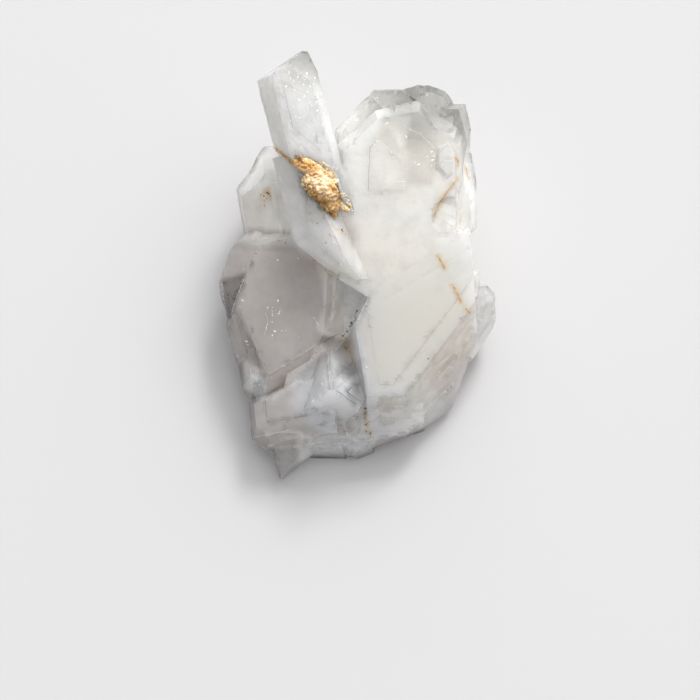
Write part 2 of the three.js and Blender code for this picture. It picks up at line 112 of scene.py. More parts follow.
def new_material(name):
    """A material with an empty tree: the material, the tree and its output node."""
    material = bpy.data.materials.new(name)
    material.use_nodes = True
    material.node_tree.nodes.clear()
    return material, material.node_tree, add_node(material.node_tree, "ShaderNodeOutputMaterial")


def store(mesh, name, values, kind="FLOAT", domain="POINT"):
    """Store a value or a colour at every point or face of a mesh."""
    field = "color" if kind == "FLOAT_COLOR" else "value"
    layer = mesh.attributes.new(name, kind, domain)
    layer.data.foreach_set(field, np.array(values, dtype=np.float32).ravel())


def add_piece(name, mesh, node=None):
    """Put a finished mesh in the scene as a piece of the object's one body."""
    piece = bpy.data.objects.new(name, mesh)
    bpy.context.collection.objects.link(piece)
    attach(piece, "root")
    if node:
        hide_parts(node)
    print(name, len(mesh.polygons), "faces")
    return piece

# %% [markdown]
# ## Where the crystals differ
# One look does not suit them all. The big right crystals are the milkiest, the lower right one has a
# warm tone, and the left blade and the small bottom prisms are greyer and clearer. The blade's grey is
# partly painted shade, and the little pyramid's bluish tone is painted skylight shade. Several rows
# also lighten or darken a crystal as painted light or shade. Each row gives a place on the part in mm,
# how far it reaches, how milky the quartz is there, and its tone. Rows blend softly into one another,
# and the fall-off says how fast.

# %% Zones of tone and milk
ZONES = [
    ((-9.5, 23.8, 24.0), 9.0, 0.84, "#FAF9F4"),    # long crystal: upper half
    # The tip's grey tone is partly its clear quartz and partly painted shade on facets that face the
    # lamp.
    ((-8.2, 30.4, 24.5), 4.6, 0.16, "#C6C7C2"),    # its clear tip
    # Painted light and shade: the lower half is toned up because its left face turns away from the
    # lamp, and its right face, turned to the lamp, is toned down.
    ((-6.5, 7.5, 19.0), 4.6, 1.0, "#FFFEFA"),      # its lower half
    ((-2.2, 5.2, 20.5), 2.0, 0.80, "#E2DDD6"),     # the right face of that half
    # The head's grey tone is partly its clear quartz and partly painted shade on facets that face the
    # lamp.
    ((8.0, 23.0, 14.0), 7.5, 0.36, "#CECEC7"),     # tall crystal: the clear head
    ((8.0, 11.0, 15.0), 9.0, 0.93, "#FAF7F0"),     # its middle
    ((17.5, 16.0, 11.0), 5.5, 0.85, "#FFFDF8"),    # its right flank
    ((11.5, 28.0, 10.0), 4.0, 0.60, "#E9E9E6"),    # its crest
    ((5.5, 1.0, 13.0), 8.0, 0.93, "#F7F3EA"),      # its foot
    ((8.1, -12.4, 10.0), 8.5, 0.98, "#FBF2E8"),    # broad crystal
    ((12.0, -21.0, 6.0), 6.0, 0.92, "#FAF1EA"),    # skirt below it
    ((20.3, -6.9, 6.0), 4.0, 0.76, "#F8F6F1"),     # spur
    # The left blade's grey tone is partly its clearer quartz and partly painted shade.
    ((-11.3, -7.7, 9.0), 9.0, 0.68, "#D5CFCA"),    # left blade
    ((-18.5, -6.0, 6.0), 3.2, 0.26, "#E2DFDC"),    # its clear outer edge
    ((-17.0, -18.0, 5.0), 4.5, 0.40, "#EAE6E2"),   # its lower corner
    # Painted light: the cleft's steep facet is toned up where it lies in shade.
    ((-2.0, -4.6, 8.0), 4.5, 0.85, "#F4EBE4"),     # cleft between blade and broad crystal
    # Painted light: the back crystal's top is toned up against the shade of the long crystal above it.
    ((-15.0, 11.0, 14.0), 5.0, 1.0, "#FFFBF4"),    # back crystal: top
    ((-17.0, 14.5, 3.0), 6.0, 0.45, "#E9E6E1"),    # its side
    ((-13.1, -25.0, 4.0), 5.0, 0.54, "#DCD7D2"),   # foot prism
    ((-6.5, -27.0, 3.0), 3.0, 0.70, "#F0ECE8"),    # its right end
    ((-11.5, -30.6, 2.0), 3.5, 0.58, "#EAE6E2"),   # sliver below it
    # Painted shade: the little pyramid's bluish tone stands for skylight shade.
    ((-3.6, -17.8, 9.0), 5.0, 0.74, "#F1F3F5"),    # little pyramid
    # Painted light: the broad crystal's left flanks are toned up where they lie in shade.
    ((-0.4, -12.0, 6.5), 3.0, 1.0, "#FFF8F0"),     # broad crystal: upper left flank
    ((0.6, -20.5, 5.0), 2.4, 1.0, "#FFF8F0"),      # its lower left flank
    ((1.9, -24.9, 5.0), 4.0, 0.82, "#F8F4F0"),     # knobs at the front
]
FALL_OFF = 2.2


def zone_values(points):
    """Milk and tone at many points at once, blended from the zones near each."""
    points = np.asarray(points) / MM
    weights = np.full(len(points), 1e-9)
    total = np.zeros((len(points), 4))
    for place, reach, milk, tone in ZONES:
        gap = np.linalg.norm(points - np.array(place), axis=1) / reach
        weight = np.exp(-FALL_OFF * gap * gap)
        weights += weight
        total += weight[:, None] * np.array([*linear(tone)[:3], milk])
    total /= weights[:, None]
    return total[:, 3], total[:, :3]


print(len(ZONES), "zones")

# %% [markdown]
# Some windows and facets differ sharply from their crystal, and some patches paint light or shade onto
# facets. Each patch is an outline seen from above in mm, with how much milkier it is and how much
# lighter than the zone around it.

# %% Patches that differ from their zone
PATCHES = [
    # left blade: the clear outer triangle, then its light facets
    ([(-21.0, -1.7), (-17.8, -0.9), (-20.0, -6.9)], -0.5, 0.80),
    ([(-5.9, 0.4), (-3.4, -2.0), (-4.8, -4.9)], 0.2, 1.14),
    # cleft and the broad crystal's left flank: painted light on facets that lie in shade
    ([(-3.1, -1.8), (1.1, -3.9), (-0.6, -8.7), (-2.0, -10.4), (-5.1, -9.8), (-3.4, -6.1)], 0.4, 1.3),
    ([(-1.2, -9.0), (-0.4, -8.7), (0.6, -13.0), (1.3, -17.5), (1.5, -22.6), (0.3, -21.8),
      (0.8, -17.5), (-1.2, -10.7)], 0.5, 1.3),
    ([(-4.9, -0.4), (-3.8, -1.6), (-3.5, -6.0), (-5.0, -9.3), (-6.0, -9.0), (-4.7, -5.3)], 0.3, 1.12),
    # foot prism, the blade's lower corner, the front edge, the knobs
    ([(-14.2, -25.6), (-9.2, -25.4), (-9.2, -27.6), (-13.6, -27.6)], 0.3, 1.18),
    ([(-16.4, -16.6), (-14.9, -17.0), (-14.6, -19.8), (-16.0, -19.6)], 0.4, 1.3),
    ([(-9.0, -26.0), (2.5, -26.2), (2.0, -28.8), (-1.5, -29.8), (-9.0, -29.6)], 0.3, 1.2),
    ([(1.5, -18.5), (10.5, -17.5), (14.0, -22.0), (4.0, -26.0), (1.0, -25.0)], 0.25, 1.08),
    # left blade: painted shade on the back edge, and the light lower corner
    ([(-18.5, 6.6), (-10.5, 5.5), (-9.5, 3.0), (-17.5, 3.5), (-19.5, 4.0)], -0.1, 0.82),
    ([(-17.6, -14.3), (-15.1, -15.8), (-15.7, -19.0), (-17.5, -18.4)], 0.35, 1.22),
    ([(-14.3, -18.8), (-9.2, -17.1), (-13.5, -20.1)], 0.2, 1.12),
    # little pyramid: painted shade and painted light on its facets, with the blade's lower flank
    # between them
    ([(-3.4, -15.6), (-2.5, -15.3), (0.7, -13.9), (0.9, -16.5), (-0.3, -16.6), (-2.8, -16.7),
      (-4.0, -18.3)], -0.1, 0.88),
    ([(-2.9, -16.9), (0.4, -16.6), (-1.1, -17.9)], 0.2, 1.12),
    ([(-1.1, -17.9), (0.9, -16.6), (1.1, -19.7), (-0.2, -21.7), (-1.6, -18.6)], -0.2, 0.88),
    ([(-14.0, -17.0), (-7.3, -12.7), (-5.6, -11.6), (-5.4, -12.4), (-7.4, -13.8), (-10.8, -16.7),
      (-14.2, -18.6)], 0.5, 1.3),
    ([(-4.5, -18.8), (-0.2, -22.0), (-1.6, -22.8), (-7.0, -20.6)], 0.2, 1.10),
    # tall crystal: the window in its head, and a painted highlight beside it
    ([(7.6, 19.8), (11.4, 19.0), (11.1, 12.9), (7.9, 12.9)], -0.12, 0.95),
    ([(4.4, 21.8), (7.6, 22.4), (6.6, 18.6)], 0.2, 1.06),
]
PATCH_RIM = 0.7
FACES_UP = -0.1


def outline_share(outline, places, rim):
    """1 for places inside an outline, fading to 0 over a rim outside it. All in mm, seen from above."""
    x, y = places[:, 0], places[:, 1]
    inside = np.zeros(len(places), dtype=bool)
    nearest = np.full(len(places), np.inf)
    for (x0, y0), (x1, y1) in zip(outline, outline[1:] + outline[:1]):
        crossing = x0 + (x1 - x0) * (y - y0) / (y1 - y0 if y1 != y0 else 1e-9)
        inside ^= ((y0 > y) != (y1 > y)) & (x < crossing)
        length = (x1 - x0) ** 2 + (y1 - y0) ** 2
        along = np.clip(((x - x0) * (x1 - x0) + (y - y0) * (y1 - y0)) / length, 0, 1)
        gap = np.hypot(x - x0 - along * (x1 - x0), y - y0 - along * (y1 - y0))
        nearest = np.minimum(nearest, gap)
    return np.where(inside, 1.0, np.clip(1.0 - nearest / rim, 0.0, 1.0))


def with_patches(points, upward, milk, tone):
    """Milk and tone of points, changed by the patches they lie in. Faces that look down stay."""
    places = np.asarray(points) / MM
    for outline, milkier, lighter in PATCHES:
        share = outline_share(outline, places, PATCH_RIM) * (upward > FACES_UP)
        milk = np.clip(milk + share * milkier, 0.0, 1.0)
        tone = np.clip(tone * (1.0 + share * (lighter - 1.0))[:, None], 0.0, 1.0)
    return milk, tone


print(len(PATCHES), "patches")

# %% [markdown]
# ## The quartz surface
# The crystals are one body, so they stay one mesh. The solid model gives the faces, growth steps and
# chips. A copy of it is cleaned and cut along a fine grid of planes, so that the surface can carry
# relief and measures without any face or edge moving. A voxel remesh could do the cutting too, but it
# would round off every edge, and sharp edges are what makes a crystal.

# %% Copy the solid and cut it finely
GRID = 0.55 * MM
GRID_START = 0.37
SHARP = math.radians(14)
FLAT = math.radians(0.3)
MERGE = 0.002 * MM
WEAR = 0.12 * MM


def cleaned_copy(node):
    """The node's surface as a bmesh, with its loose triangles merged and its flat faces whole."""
    bm = bmesh.new()
    bm.from_mesh(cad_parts[node].data)
    bm.transform(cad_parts[node].matrix_world)
    bmesh.ops.remove_doubles(bm, verts=bm.verts, dist=MERGE)
    bmesh.ops.dissolve_limit(bm, angle_limit=FLAT, verts=bm.verts, edges=bm.edges)
    return bm


def cut_in_grid(bm, step):
    """Cut all faces along planes one step apart in X, Y and Z. They start off the part's own faces."""
    corners = np.array([v.co for v in bm.verts])
    for axis in range(3):
        normal = [0.0, 0.0, 0.0]
        normal[axis] = 1.0
        first = corners[:, axis].min() + step * GRID_START
        for place in np.arange(first, corners[:, axis].max(), step):
            point = [0.0, 0.0, 0.0]
            point[axis] = float(place)
            bmesh.ops.bisect_plane(
                bm, geom=bm.verts[:] + bm.edges[:] + bm.faces[:], dist=1e-7,
                plane_co=point, plane_no=normal)


def worn_edges(bm, width, sharp):
    """Take a hair's width off the outward sharp edges. The new faces get the second material."""
    edges = [e for e in bm.edges if len(e.link_faces) == 2 and e.calc_face_angle_signed(0.0) > sharp
             and e.calc_length() > 3 * width]
    made = bmesh.ops.bevel(
        bm, geom=edges, offset=width, segments=1, affect="EDGES", clamp_overlap=True)
    for face in made["faces"]:
        face.material_index = 1


quartz_bm = cleaned_copy("quartz_cluster")
worn_edges(quartz_bm, WEAR, SHARP)
cut_in_grid(quartz_bm, GRID)
bmesh.ops.triangulate(quartz_bm, faces=quartz_bm.faces)
quartz_bm.normal_update()
print("quartz surface:", len(quartz_bm.faces), "triangles")

# %% [markdown]
# Two measures decide how clear the quartz looks at a point: how far the nearest sharp edge is, and
# how deep the quartz reaches under the surface. Thin rims are clear and thick middles are milky.

# %% Measure edge distance and depth at each corner
DOWN = Vector((0, 0, -1))
ABOVE = 100 * MM
JUST_UNDER = 0.02 * MM
quartz_tree = BVHTree.FromBMesh(quartz_bm)
edge_points = []
for edge in quartz_bm.edges:
    if len(edge.link_faces) == 2 and edge.calc_face_angle(0.0) > SHARP:
        a, b = edge.verts[0].co, edge.verts[1].co
        edge_points += [a.copy(), a.lerp(b, 0.5), b.copy()]
edge_tree = KDTree(len(edge_points))
for index, point in enumerate(edge_points):
    edge_tree.insert(point, index)
edge_tree.balance()
rim_distance = [edge_tree.find(v.co)[2] for v in quartz_bm.verts]


def depth_under(point, normal):
    """How far the quartz reaches straight in from a point of its surface."""
    hit = quartz_tree.ray_cast(point - normal * JUST_UNDER, -normal)
    return hit[3] if hit[0] is not None else 0.0


depth_below = [depth_under(v.co, v.normal) for v in quartz_bm.verts]
quartz_points = [v.co for v in quartz_bm.verts]
zone_milk, zone_tone = zone_values(quartz_points)
upward = np.array([v.normal.z for v in quartz_bm.verts])
zone_milk, zone_tone = with_patches(quartz_points, upward, zone_milk, zone_tone)
mean_depth = round(float(np.mean(depth_below)) / MM, 2)
print("edge points:", len(edge_points), " mean depth:", mean_depth, "mm")

# %% [markdown]
# Faces of natural quartz are never quite flat, and their edges are nicked. Low waves and small nicks
# go into the mesh itself. Both only sink in, so the part stays inside the solid model's box.

# %% Fine relief
WAVE_HEIGHT = 0.03 * MM
NICK_DEPTH = 0.22 * MM
FLAT_FOOT = 0.05 * MM
RIM_WIDTH = 0.9 * MM
for vert, rim in zip(quartz_bm.verts, rim_distance):
    place = vert.co / MM
    away = min(1.0, rim / RIM_WIDTH)
    wave = noise.noise(place * 0.55) + 0.5 * noise.noise(place * 1.7 + Vector((7.0, 3.0, 1.0)))
    nick = max(0.0, noise.noise(place * 0.9 + Vector((1.0, 9.0, 4.0)))) * (1.0 - away)
    if vert.co.z > FLAT_FOOT:
        vert.co += vert.normal * (WAVE_HEIGHT * (wave * away - 1.0) - NICK_DEPTH * nick)
print("points on the quartz:", len(quartz_bm.verts))

# %% [markdown]
# ## Where rust and fractures lie
# Iron stain runs in a few hairline cracks, and small bright fractures sit close under some faces.
# The paths and places below are read off the part in mm, seen from above, and dropped on the surface.
# A fracture has a place, a reach in mm and a strength.

# %% Paths of the stain and places of the fractures
STAIN_PATHS = {
    "tall_crack": [(15.2, 13.7), (14.3, 12.5), (13.3, 11.3), (12.4, 9.9), (11.8, 8.7), (11.5, 7.8)],
    "tall_patch": [(14.7, 16.8), (15.3, 16.2), (15.0, 15.3)],
    "tall_side": [(16.5, 15.8), (16.8, 14.8), (17.1, 13.8)],
    "broad_upper": [(12.2, 2.0), (12.7, 1.1), (13.4, -0.2)],
    "broad_middle": [(14.4, -2.4), (15.1, -3.5), (15.7, -4.7), (16.0, -5.3)],
    "broad_right": [(16.5, -5.9), (17.4, -6.7)],
    "junction": [(0.3, -6.5), (-0.3, -7.7), (-1.2, -8.7), (-1.7, -9.9), (-2.8, -11.4)],
    "back_hairpin": [
        (-14.5, 10.2), (-14.7, 11.1), (-14.4, 12.2), (-13.9, 12.4), (-13.6, 11.4), (-13.6, 10.4)],
    "crossing_dot": [(-3.8, 21.5), (-3.3, 21.0)],
    "leaning_smudge": [(-4.1, 6.7), (-3.2, 5.9), (-2.1, 5.3)],
    "foot_seam": [(1.3, -21.5), (1.0, -22.6), (2.2, -26.5)],
    "leaning_line": [(-12.7, 18.3), (-12.0, 17.8), (-11.0, 17.0), (-9.6, 15.6)],
    "leaning_line_edge": [(-12.4, 17.9), (-11.2, 16.9), (-9.8, 15.5)],
}
# White lines: along edges they are painted highlight, elsewhere healed cracks.
HIGHLIGHT_AND_CRACK_LINES = [
    [(-17.7, -1.5), (-18.8, -4.2), (-19.8, -7.1)], [(-21.2, -1.9), (-20.9, -4.3), (-20.4, -6.8)],
    [(-8.3, 3.5), (-6.5, 2.4), (-4.4, 0.8)], [(-20.5, -9.6), (-20.6, -11.2), (-20.0, -13.5)],
    [(-14.3, -6.6), (-13.9, -8.0), (-14.5, -10.2)], [(-3.6, -3.4), (-4.4, -5.0)],
    [(-6.8, -7.3), (-6.1, -8.6)], [(-16.9, -26.4), (-15.0, -27.7), (-13.2, -28.8)],
    [(-16.4, -26.1), (-13.0, -25.4), (-10.3, -24.8)], [(-2.1, -24.2), (-1.6, -25.8), (-0.2, -26.5)],
    [(3.6, -22.5), (6.2, -23.6)], [(3.7, 13.1), (7.3, 13.1)], [(6.8, 21.4), (9.4, 20.2), (11.6, 18.0)],
]
DARK_PATHS = ("junction", "foot_seam", "leaning_smudge", "back_hairpin")
SPECKS = [(-10.9, 3.8), (-15.9, 2.0), (11.1, -13.7), (-14.5, 1.4), (-18.9, 11.7), (-6.3, -27.7)]
FRACTURES = [
    ((-8.3, 27.8), 1.8, 1.0), ((-6.3, 24.6), 1.8, 1.0), ((-8.7, 23.4), 1.8, 0.7),
    ((-5.7, 21.1), 0.9, 0.5), ((-13.2, -6.2), 1.2, 0.8), ((-12.3, -9.3), 0.9, 0.5),
    ((-16.2, -17.1), 1.2, 1.5), ((6.3, 20.0), 0.8, 1.0), ((10.1, 16.4), 2.0, 0.45),
    ((2.8, -17.9), 0.6, 1.0), ((6.8, -20.8), 0.8, 1.2), ((12.9, -18.9), 0.9, 0.5),
    ((-14.5, 25.4), 0.8, 0.5), ((-2.1, 17.9), 0.6, 0.4), ((-16.9, -11.6), 0.8, 0.6),
    ((-17.6, -4.6), 1.1, 0.3),
]


def dropped(x, y):
    """The topmost point of the quartz at a place in mm, or None beside it."""
    return quartz_tree.ray_cast(Vector((x * MM, y * MM, ABOVE)), DOWN)[0]


def laid_path(path, step=0.2):
    """A path of close points that lies on the surface."""
    points = []
    for (x0, y0), (x1, y1) in zip(path, path[1:]):
        count = max(1, round(math.hypot(x1 - x0, y1 - y0) / step))
        for k in range(count):
            point = dropped(x0 + (x1 - x0) * k / count, y0 + (y1 - y0) * k / count)
            if point is not None:
                points.append(point)
    return points


# Earth lies in the junction too, but it has not stained the quartz.
STAIN_REACH = 0.6 * MM
laid = {name: laid_path(path) for name, path in STAIN_PATHS.items()}
stain_points = [point for name, path in laid.items() if name != "junction" for point in path]
stain_tree = KDTree(len(stain_points))
for index, point in enumerate(stain_points):
    stain_tree.insert(point, index)
stain_tree.balance()
rust = [max(0.0, 1.0 - stain_tree.find(v.co)[2] / STAIN_REACH) for v in quartz_bm.verts]
print("stain points:", len(stain_points))

# %% [markdown]
# ## Quartz as a material
# Rock crystal is clear silica with an index of refraction of 1.544 and a glassy lustre. Full of tiny
# fluid bubbles it turns milky, which is white scatter close under the surface. So the shader is
# glass where the measures say clear, and more and more of a soft scattering white where they say
# milky. The absorption is faint and warm: a few millimetres take almost nothing away.

# %% Quartz material
QUARTZ_IOR = 1.544


def quartz_material(name, worn):
    """Milky rock crystal: glass at the rims, soft white where it is thick. Worn edges are whiter."""
    material, tree, output = new_material(name)
    milk, facet = stored(tree, "milk"), stored(tree, "facet")
    fret = noise_node(tree, 1200.0, 4.0)
    seep = add_node(tree, "ShaderNodeMath", {0: stored(tree, "rust"), 1: fret}, operation="MULTIPLY")
    stained = add_node(tree, "ShaderNodeMix", {
        "Factor": seep, "A": stored(tree, "tone", "Color"), "B": linear("#D9B77A")}, data_type="RGBA")
    shaded = add_node(tree, "ShaderNodeVectorMath", {
        0: stained.outputs["Result"], "Scale": mapped(tree, facet, (0.0, 1.0), (0.88, 1.0))},
        operation="SCALE").outputs["Vector"]
    wisps = mapped(tree, noise_node(tree, 240.0, 7.0, 0.6), (0.35, 0.68), (-0.09, 0.09))
    clarity = mapped(tree, facet, (0.0, 1.0), (-0.16, 0.1))
    cloudy = add_node(tree, "ShaderNodeMath", {0: milk, 1: wisps}, operation="ADD")
    cloudy = add_node(tree, "ShaderNodeMath", {0: cloudy, 1: clarity}, operation="ADD", use_clamp=True)
    if worn:
        cloudy = 1.0
        shaded = add_node(tree, "ShaderNodeMix", {
            "Factor": 0.55, "A": shaded, "B": linear("#FFFEFB")}, data_type="RGBA").outputs["Result"]
    clear = mapped(tree, cloudy, (0.0, 1.0), (0.95, 0.1))
    grain = noise_node(tree, 900.0, 4.0)
    bump = add_node(tree, "ShaderNodeBump", {"Height": grain, "Strength": 0.12, "Distance": 0.0002})
    shader = add_node(tree, "ShaderNodeBsdfPrincipled", {
        "Base Color": shaded, "Roughness": mapped(tree, grain, (0.3, 0.7), (0.06, 0.2)),
        "IOR": QUARTZ_IOR, "Transmission Weight": clear, "Normal": bump,
        "Subsurface Weight": 1.0, "Subsurface Radius": (1.0, 0.97, 0.94), "Subsurface Scale": 0.009})
    tree.links.new(shader.outputs[0], output.inputs["Surface"])
    haze = add_node(tree, "ShaderNodeVolumeAbsorption", {"Color": linear("#E9E6E0"), "Density": 10.0})
    tree.links.new(haze.outputs[0], output.inputs["Volume"])
    return material


# %% [markdown]
# The measures turn into milk: a little less of it at a rim, and much less where the quartz is thin.

# %% Milk, stain, tone and facets on the quartz
CLEAR_RIM, RIM_SPAN, MILK_AT_RIM = 0.1, 1.2, 0.92
CLEAR_DEPTH, DEPTH_SPAN, MILK_WHERE_THIN = 0.5, 6.0, 0.62
SMOOTH_BELOW = math.radians(11)


def milk_at(rim, depth, zone):
    """0 for clear quartz and 1 for milk, from the measures in mm and the zone's own milkiness."""
    away = np.clip((rim - CLEAR_RIM) / RIM_SPAN, 0.0, 1.0)
    thick = np.clip((depth - CLEAR_DEPTH) / DEPTH_SPAN, 0.0, 1.0)
    by_rim = MILK_AT_RIM + (1.0 - MILK_AT_RIM) * away
    by_depth = MILK_WHERE_THIN + (1.0 - MILK_WHERE_THIN) * thick
    return zone * by_rim * by_depth


quartz_mesh = bpy.data.meshes.new("quartz_surface")
quartz_bm.to_mesh(quartz_mesh)
milk_values = milk_at(np.array(rim_distance) / MM, np.array(depth_below) / MM, zone_milk)
store(quartz_mesh, "milk", milk_values)
store(quartz_mesh, "rust", rust)
store(quartz_mesh, "tone", np.hstack([zone_tone, np.ones((len(zone_tone), 1))]), "FLOAT_COLOR")
facet_values = [0.5 + noise.noise(polygon.normal * 2.6 + Vector((3.0, 1.0, 8.0)))
                for polygon in quartz_mesh.polygons]
store(quartz_mesh, "facet", np.clip(facet_values, 0, 1), domain="FACE")
quartz_mesh.shade_smooth()
quartz_mesh.set_sharp_from_angle(angle=SMOOTH_BELOW)
quartz_mesh.materials.append(quartz_material("milky_rock_crystal", False))
quartz_mesh.materials.append(quartz_material("worn_crystal_edge", True))
add_piece("quartz_surface", quartz_mesh, "quartz_cluster")

# %% [markdown]
# ## Veils of milk inside
# Milk in quartz lies in wavy layers that follow the growing faces. Each veil here is a thin sheet
# that runs a few millimetres below the upper faces, waves a little, and fades out before it reaches
# the outside. A scattering volume would be the purer way, but it renders slowly and cannot be kept
# in an exported model.

# %% Heights of the upper surface on a grid
VEIL_STEP = 0.6 * MM
low, high = [Vector(corner) for corner in cad_box]
veil_x = np.arange(low.x, high.x, VEIL_STEP)
veil_y = np.arange(low.y, high.y, VEIL_STEP)
top = np.full((len(veil_x), len(veil_y)), np.nan)
for i, x in enumerate(veil_x):
    for j, y in enumerate(veil_y):
        point = quartz_tree.ray_cast(Vector((x, y, ABOVE)), DOWN)[0]
        if point is not None:
            top[i, j] = point.z
print("upper surface on", top.shape, "points")


def smoothed(grid, rounds):
    """Even out a grid of heights, leaving out the empty places."""
    filled = np.where(np.isnan(grid), 0.0, grid)
    share = np.where(np.isnan(grid), 0.0, 1.0)
    for _ in range(rounds):
        for axis in (0, 1):
            filled = (np.roll(filled, 1, axis) + 2 * filled + np.roll(filled, -1, axis)) / 4
            share = (np.roll(share, 1, axis) + 2 * share + np.roll(share, -1, axis)) / 4
    return filled / np.maximum(share, 1e-6)


soft_top = smoothed(top, 4)

# %% [markdown]
# Each veil hangs below these heights. It stops a little short of the surface, and a value on its
# points lets it fade out there.

# %% Veils below the surface
VEIL_DEPTHS = [1.3 * MM, 2.8 * MM, 5.0 * MM]
VEIL_MARGIN = 0.45 * MM
VEIL_FADE = 1.2 * MM
VEIL_WAVE = 5 * MM
VEIL_SWING = 0.35


def inside_depth(point):
    """Distance from a point inside the quartz to its surface, or 0 outside."""
    near, normal, _, distance = quartz_tree.find_nearest(point)
    if near is None or (point - near).dot(normal) > 0:
        return 0.0
    return distance


def veil_mesh(depths, margin):
    """Sheets that follow the upper surface at the given depths, with their own fading value."""
    corners, faces, fades = [], [], []
    for depth in depths:
        index = {}
        for i, x in enumerate(veil_x):
            for j, y in enumerate(veil_y):
                if np.isnan(top[i, j]):
                    continue
                wave = noise.noise(Vector((x, y, depth * 5)) / VEIL_WAVE) * VEIL_SWING * depth
                point = Vector((x, y, min(soft_top[i, j], top[i, j]) - depth + wave))
                inside = inside_depth(point)
                if point.z > margin and inside > margin:
                    index[i, j] = len(corners)
                    corners.append(point)
                    fades.append(min(1.0, (inside - margin) / VEIL_FADE))
        for i, j in list(index):
            ring = [(i, j), (i + 1, j), (i + 1, j + 1), (i, j + 1)]
            if all(key in index for key in ring):
                faces.append([index[key] for key in ring])
    mesh = bpy.data.meshes.new("milk_veils")
    mesh.from_pydata(corners, [], faces)
    milk, _ = zone_values(corners)
    store(mesh, "fade", np.array(fades) * milk)
    mesh.shade_smooth()
    return mesh


def veil_material():
    """A film of bubbles: white, and only there where the noise and the fade let it be."""
    material, tree, output = new_material("milky_veil")
    share = mapped(tree, noise_node(tree, 260.0, 7.0, 0.6), (0.3, 0.7), (0.3, 0.85))
    alpha = add_node(tree, "ShaderNodeMath", {0: stored(tree, "fade"), 1: share}, operation="MULTIPLY")
    shader = add_node(tree, "ShaderNodeBsdfPrincipled", {
        "Base Color": linear("#F3F1EE"), "Roughness": 0.9, "Alpha": alpha,
        "Specular IOR Level": 0.0})
    tree.links.new(shader.outputs[0], output.inputs["Surface"])
    return material


veils = veil_mesh(VEIL_DEPTHS, VEIL_MARGIN)
veils.materials.append(veil_material())
add_piece("milk_veils", veils)

# %% [markdown]
# ## The clay lump
# The clay is a crumbly ochre lump of earth and rust. Crumbs are strewn on its solid and on the quartz
# round it, inside outlines seen from above. The heap is remeshed into one skin, and noise roughens
# it. Each crumb has its own tone, and some places are browner. First the material: one colour ramp
# from rusty brown to sandy white.

# %% Clay material
def clay_material():
    """Ochre earth, dull and grainy: rusty brown, ochre or sandy white by the crumb's own tone."""
    material, tree, output = new_material("ochre_clay")
    blotch = add_node(tree, "ShaderNodeMath", {
        0: noise_node(tree, 480.0, 6.0, 0.65), 1: 0.5}, operation="MULTIPLY")
    level = add_node(tree, "ShaderNodeMath", {
        0: stored(tree, "crumb"), 1: 0.5, 2: blotch}, operation="MULTIPLY_ADD")
    lift = mapped(tree, noise_node(tree, 2300.0, 3.0), (0.3, 0.7), (-0.09, 0.09))
    level = add_node(tree, "ShaderNodeMath", {0: level, 1: lift}, operation="ADD")
    colour = add_node(tree, "ShaderNodeValToRGB", {"Fac": level})
    ramp = colour.color_ramp
    ramp.elements[0].position, ramp.elements[0].color = 0.2, linear("#774A20")
    ramp.elements[1].position, ramp.elements[1].color = 0.78, linear("#F4E4CE")
    for position, tone in ((0.32, "#A9773C"), (0.44, "#C6985A"), (0.56, "#E0BA86"), (0.66, "#EDD2AC")):
        ramp.elements.new(position).color = linear(tone)
    grain = noise_node(tree, 2600.0, 5.0)
    bump = add_node(tree, "ShaderNodeBump", {"Height": grain, "Strength": 0.4, "Distance": 0.0003})
    shader = add_node(tree, "ShaderNodeBsdfPrincipled", {
        "Base Color": colour, "Roughness": 0.92, "Normal": bump, "IOR": 1.5,
        "Subsurface Weight": 0.6, "Subsurface Radius": (1.0, 0.7, 0.4), "Subsurface Scale": 0.0008})
    tree.links.new(shader.outputs[0], output.inputs["Surface"])
    return material

# %% [markdown]
# The outlines hold the crumbs of the lump, of the tan plate behind it and of the crumbly tail. Each
# has its count of crumbs and their radii in mm. Brown places have a reach in mm, and say how much
# darker they are. Along the lump's lower left edge they are painted shade; the others are real stains.

# %% Where the clay lies and where it is brown
CLAY_OUTLINES = [
    [(-8.2, 13.8), (-6.8, 14.4), (-5.2, 14.5), (-3.7, 13.8), (-2.6, 12.1), (-2.9, 11.3), (-3.3, 10.5),
     (-3.3, 9.8), (-3.4, 9.0), (-3.7, 8.0), (-4.5, 8.7), (-5.4, 9.1), (-5.9, 9.8), (-7.0, 10.9),
     (-8.2, 12.0), (-8.5, 12.9)],
    [(-9.6, 17.0), (-7.5, 16.4), (-6.9, 15.8), (-5.2, 15.9), (-4.2, 15.1), (-4.0, 14.1), (-5.6, 14.5),
     (-8.0, 13.9), (-8.3, 14.7), (-9.4, 15.3)],
    [(-2.9, 12.0), (-2.2, 11.6), (-1.3, 10.3), (-0.7, 9.0), (-1.1, 8.9), (-1.9, 10.1), (-2.8, 11.1)],
]
CLAY_CRUMBS = [(330, (0.15, 0.5)), (200, (0.1, 0.2)), (34, (0.1, 0.24))]
CLAY_STAINS_AND_SHADE = [
    ((-7.4, 11.3), 1.0, 0.35), ((-6.4, 10.4), 1.1, 0.5), ((-5.4, 9.6), 1.1, 0.55),
    ((-4.2, 8.5), 1.0, 0.32), ((-9.0, 16.0), 1.4, 0.36), ((-7.6, 15.3), 1.3, 0.36),
    ((-4.8, 14.5), 0.5, 0.35), ((-3.6, 11.9), 0.5, 0.3),
]
CRUST = 0.1 * MM
CLAY_VOXEL = 0.085 * MM
CLAY_GRAIN = 0.12 * MM
SANDY = 0.77
ON_THE_LINE = 0.01
FULL_TURN = 6.28


